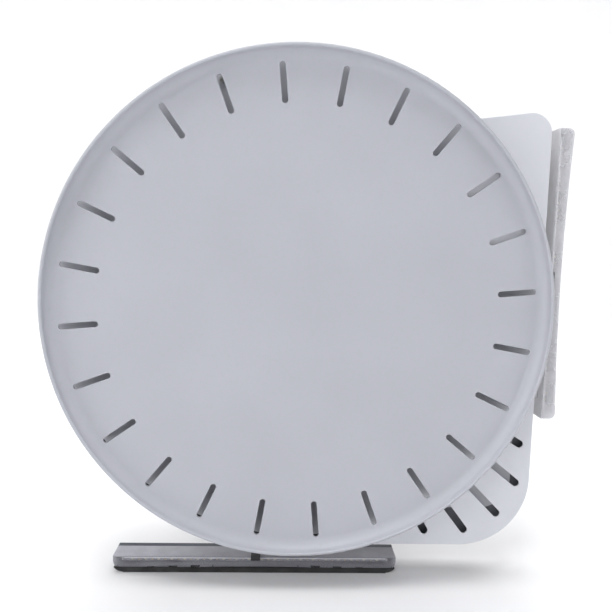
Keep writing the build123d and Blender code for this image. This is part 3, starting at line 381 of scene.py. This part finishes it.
for bar, body, along_bar, across_bar in (
    ("side_bar", "head", (0, 0, 1), (-1, 0, 0)),
    ("foot_bar", "pedestal", (1, 0, 0), (0, 0, 1)),
):
    low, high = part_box(bar + "_leds")
    centre = (low + high) / 2
    tape = facing_plane((centre.x, low.y + TAPE_DEPTH, centre.z), along_bar, across_bar)
    chips, parts, guide = bmesh.new(), bmesh.new(), bmesh.new()
    for k in range(LED_COUNT):
        along = (k - (LED_COUNT - 1) / 2) * LED_PITCH
        add_turned(chips, tape @ Matrix.Translation((along, 0, 0)), DOME, 16)
        if k == LED_COUNT - 1:
            continue
        between = along + LED_PITCH / 2
        for across in (-PAD_OFFSET, PAD_OFFSET):
            add_block(parts, tape, PAD, (between, across, 0), 0, 0.04 * MM)
        if k % 3 == 1:
            add_block(parts, tape, RESISTOR, (between, 0, 0), 0, 0.1 * MM)
    piece(bar + "_phosphor", chips, phosphor, body, True)
    piece(bar + "_pads", parts, looks["gold_plate"], body)
    end = ((high - low).dot(Vector(along_bar)) - GUIDE_SHORTER) / 2
    rod = tape @ Matrix.Translation(GUIDE_PLACE) @ Matrix.Rotation(math.radians(90), 4, "Y")
    section = [(0, -end), (GUIDE_TIP_RADIUS, -end), (GUIDE_RADIUS, GUIDE_TAPER - end)]
    section += [(GUIDE_RADIUS, end - GUIDE_TAPER), (GUIDE_TIP_RADIUS, end), (0, end)]
    add_turned(guide, rod, section, 16)
    piece(bar + "_light_guide", guide, milky, body, True)

# foam filter behind the panel's slots, beyond the chassis plate; its outline, in millimetres from AXIS, follows the
# panel's lower right corner
FILTER_BACK = 3.2 * MM              # the foam's far side, behind the chassis plate
FILTER_THICKNESS = 3.0 * MM
filter_foam = rubber("filter_foam", (0.15, 0.155, 0.175))
plate_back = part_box("chassis_plate")[1].y
place = facing_plane((AXIS.x, plate_back + FILTER_BACK, AXIS.z), *FRONT)
outline = [(296, -60)] + arc((216, -221), 80, 0, -90) + [(100, -301), (100, -250)]
outline += arc((236, -218), 32, -90, 0) + [(268, -60)]
sheet = bmesh.new()
add_sheet(sheet, place, [mm(x, z) for x, z in outline], FILTER_THICKNESS)
piece("vent_filter", sheet, filter_foam, "head")

# pale strip that closes two of the pan's slots from behind
BLANK_BACK = 7.0 * MM               # the strip's far side, behind the pan's front
BLANK_THICKNESS = 1.4 * MM
BLANK_OUTER, BLANK_INNER = 287, 236
BLANK_START, BLANK_END = 14, 42     # degrees above level, on the right
place = facing_plane((AXIS.x, AXIS.y + BLANK_BACK, AXIS.z), *FRONT)
outline = arc((0, 0), BLANK_OUTER, BLANK_START, BLANK_END) + arc((0, 0), BLANK_INNER, BLANK_END, BLANK_START)
sheet = bmesh.new()
add_sheet(sheet, place, [mm(x, z) for x, z in outline], BLANK_THICKNESS)
piece("slot_blank", sheet, looks["panel_paint"], "dish")

# radial ribs and a plain label on the housing's back
RIB_COUNT = 36
RIB_OUTER = 284
RIB_INNERS = (160, 215, 258)        # a rib starts at the first of these radii that keeps it clear
RIB_CLEARANCE = 3
RIB_WIDTH, RIB_HEIGHT, RIB_EDGE = mm(3.2, 1.3, 0.5)
LABEL = mm(62, 26, 0.25)
LABEL_PLACE = mm(150, -150, 0)      # from AXIS, seen from the back
KEEP_OUT = [                        # lowest and highest X, then Z, in millimetres from AXIS
    (-210, -90, -100, 100),         # louvres
    (140, 252, -166, -54),          # fan grille
    (96, 248, -254, -198),          # connector plate
    (-186, -114, -168, -132),       # label
]


def blocked(angle, inner, outer):
    """True where a rib at this angle from the top, between two radii, would cross a kept area."""
    for step in range(41):
        r = inner + (outer - inner) * step / 40
        x, z = r * math.sin(angle), r * math.cos(angle)
        if any(x0 < x < x1 and z0 < z < z1 for x0, x1, z0, z1 in KEEP_OUT):
            return True
    return False


housing_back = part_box("rear_housing")[1].y
place = facing_plane((AXIS.x, housing_back, AXIS.z), *BACK)
ribs = bmesh.new()
for k in range(RIB_COUNT):
    angle = math.radians(360 / RIB_COUNT * (k + 0.5))
    for inner in RIB_INNERS:
        if not blocked(angle, inner - RIB_CLEARANCE, RIB_OUTER):
            size = (RIB_WIDTH, (RIB_OUTER - inner) * MM, RIB_HEIGHT)
            add_block(ribs, place, size, (0, (inner + RIB_OUTER) / 2 * MM, 0), angle, RIB_EDGE)
            break
piece("housing_ribs", ribs, looks["housing_plastic"], "head")
label = bmesh.new()
add_block(label, place, LABEL, LABEL_PLACE, 0, 0.1 * MM)
piece("plain_label", label, looks["zinc_steel"], "head")

# washers round the bracket's bolt heads
BOLT_HEAD = 5 * MM
BOLT_X, BOLT_Z = mm(50, 56)         # from AXIS
WASHER = [mm(6.7, 0), mm(10.2, 0), mm(10.5, 0.3), mm(10.5, 1.2), mm(10.2, 1.5), mm(6.7, 1.5), mm(6.7, 0)]
washers = bmesh.new()
bracket_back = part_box("bracket_bolts")[1].y - BOLT_HEAD
for x in (-BOLT_X, BOLT_X):
    for z in (-BOLT_Z, BOLT_Z):
        add_turned(washers, facing_plane((AXIS.x + x, bracket_back, AXIS.z + z), *BACK), WASHER, 40)
piece("bracket_washers", washers, looks["zinc_steel"], "head")

# turned threads on the coaxial sockets
SOCKET_INSET = 7.2 * MM             # a socket's axis, from the side of the pair's box
THREAD_LENGTH = 7.6 * MM
THREAD_PITCH = 0.79                 # millimetres, for 32 threads to the inch
THREAD_TURNS, THREAD_STEPS = 9, 24
THREAD = ((4.7, 0), (4.98, 0.2), (4.7, 0.4))            # radius and lift of root, crest and root
threads = bmesh.new()
low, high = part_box("coax_sockets")
for x in (low.x + SOCKET_INSET, high.x - SOCKET_INSET):
    centre = Vector((x, high.y - THREAD_LENGTH, (low.z + high.z) / 2))
    points = []
    for step in range(THREAD_STEPS * THREAD_TURNS):
        angle = math.tau * step / THREAD_STEPS
        for radius, lift in THREAD:
            height = THREAD_PITCH * angle / math.tau + lift
            offset = Vector((radius * math.cos(angle), height, radius * math.sin(angle))) * MM
            points.append(threads.verts.new(centre + offset))
    for k in range(0, len(points) - 3, 3):
        for side in (k, k + 1):
            threads.faces.new((points[side], points[side + 1], points[side + 4], points[side + 3]))
piece("coax_threads", threads, looks["gold_plate"], "head", True)

# degree ticks without figures: azimuth on the spindle's flange, skew on the clamp plate
TICK_COUNT = 72
LONG_EVERY = 6
TICK_WIDTH, TICK_DEPTH, TICK_SUNK, TICK_EDGE = mm(0.6, 0.2, 0.05, 0.04)
FLANGE_RADIUS = 50
FLANGE_TICKS_DOWN = 5 * MM          # the ticks' middle, below the flange's top
PLATE_TICKS_LOWER = 1.0 * MM        # the ticked face, below the clamp plate's highest point
PLATE_TICKS_RADIUS = 44.5           # to the outer ends of the ticks


def add_tick(shape, place, height, up=0.0, turn=0.0):
    """One tick sunk a little into the plane; its height, and its middle's distance up, are in millimetres."""
    size = (TICK_WIDTH, height * MM, TICK_DEPTH)
    add_block(shape, place, size, (0, up * MM, -TICK_SUNK), turn, TICK_EDGE)


tick_paint = powder_coat("tick_paint", (0.8, 0.8, 0.78), rough=0.5, mottle=0.04)
flange_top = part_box("azimuth_spindle")[1].z
ticks = bmesh.new()
for k in range(TICK_COUNT):
    angle = math.tau * k / TICK_COUNT
    out = Vector((math.cos(angle), math.sin(angle), 0))
    centre = out * FLANGE_RADIUS * MM + Vector((0, 0, flange_top - FLANGE_TICKS_DOWN))
    height = 7.0 if k % LONG_EVERY == 0 else 4.0
    add_tick(ticks, facing_plane(centre, (-out.y, out.x, 0), (0, 0, 1)), height)
piece("azimuth_ticks", ticks, tick_paint, "turntable")
plate_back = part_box("skew_clamp_plate")[1].y - PLATE_TICKS_LOWER
place = facing_plane((AXIS.x, plate_back, AXIS.z), *BACK)
ticks = bmesh.new()
for k in range(TICK_COUNT):
    height = 6.0 if k % LONG_EVERY == 0 else 3.5
    add_tick(ticks, place, height, PLATE_TICKS_RADIUS - height / 2, math.tau * k / TICK_COUNT)
piece("skew_ticks", ticks, looks["black_steel"], "dish")


# ---- floor, light and camera ----------------------------------------------------------------------------------
def floor():
    """A wide pale floor that curves up into a backdrop all round."""
    mesh = bpy.data.meshes.new("floor")
    shape = bmesh.new()
    centre, flat, curve, rise = 0.6, 3.0, 1.4, 5.0      # metres
    steps, curve_steps = 72, 12
    profile = [(centre, 0.0), (flat, 0.0)]
    for step in range(1, curve_steps + 1):
        angle = math.radians(90 * step / curve_steps)
        profile.append((flat + curve * math.sin(angle), curve * (1 - math.cos(angle))))
    profile.append((flat + curve, rise))
    rows = []
    for radius, height in profile:
        turns = [math.tau * k / steps for k in range(steps)]
        rows.append([shape.verts.new((radius * math.cos(a), radius * math.sin(a), height)) for a in turns])
    shape.faces.new(rows[0])
    for low, high in zip(rows, rows[1:]):
        for k in range(steps):
            shape.faces.new((low[k - 1], low[k], high[k], high[k - 1]))
    bmesh.ops.recalc_face_normals(shape, faces=shape.faces)
    shape.to_mesh(mesh)
    shape.free()
    for face in mesh.polygons:
        face.use_smooth = True
    obj = bpy.data.objects.new("floor", mesh)
    bpy.context.scene.collection.objects.link(obj)
    n = Nodes("floor")
    n.colour(n.mix(n.noise(3.0), (0.86, 0.86, 0.87), (0.90, 0.90, 0.91)))
    n.set(Roughness=0.9)
    mesh.materials.append(n.material)


def area_light(name, place, target, size, power):
    """A soft box aimed at a point; its size is in metres and its power in watts."""
    data = bpy.data.lights.new(name, "AREA")
    data.shape = "RECTANGLE"
    data.size, data.size_y = size
    data.energy = power
    lamp = bpy.data.objects.new(name, data)
    lamp.location = place
    lamp.rotation_euler = (Vector(target) - Vector(place)).to_track_quat("-Z", "Y").to_euler()
    bpy.context.scene.collection.objects.link(lamp)


def camera(place, yaw, pitch, roll, lens):
    """A camera looking along +Y before its turns, which are in degrees; the lens is in millimetres."""
    data = bpy.data.cameras.new("camera")
    data.lens = lens
    data.sensor_width = 36.0
    data.clip_start = 0.01
    obj = bpy.data.objects.new("camera", data)
    turn = Matrix.Rotation(math.radians(yaw), 4, "Z") @ Matrix.Rotation(math.radians(pitch), 4, "X")
    turn = turn @ Matrix.Rotation(math.radians(roll), 4, "Y") @ Matrix.Rotation(math.radians(90), 4, "X")
    obj.matrix_world = Matrix.Translation(place) @ turn
    bpy.context.scene.collection.objects.link(obj)
    bpy.context.scene.camera = obj


floor()
area_light("key", (-1.7, -3.3, 3.0), (0, 0, 0.35), (1.5, 1.5), 32)
area_light("top", (-0.3, -0.9, 3.4), (0, -0.2, 0.3), (1.5, 1.0), 54)
area_light("left", (-2.4, -1.0, 0.7), (0, -0.1, 0.35), (1.0, 1.0), 12)
area_light("right", (2.4, -1.0, 0.7), (0, -0.1, 0.35), (1.0, 1.0), 8)
area_light("sweep", (0.0, 1.0, 3.2), (0, 2.4, 0.0), (4.0, 2.0), 100)
world = bpy.data.worlds.new("world")
world.use_nodes = True
world.node_tree.nodes["Background"].inputs["Color"].default_value = (0.95, 0.97, 1.0, 1)
world.node_tree.nodes["Background"].inputs["Strength"].default_value = 0.08
bpy.context.scene.world = world
bpy.context.scene.view_settings.view_transform = "Standard"
camera(AXIS + Vector((-0.0218, -0.7043, 0.0768)), yaw=-2.34, pitch=-5.90, roll=-1.54, lens=35.3)
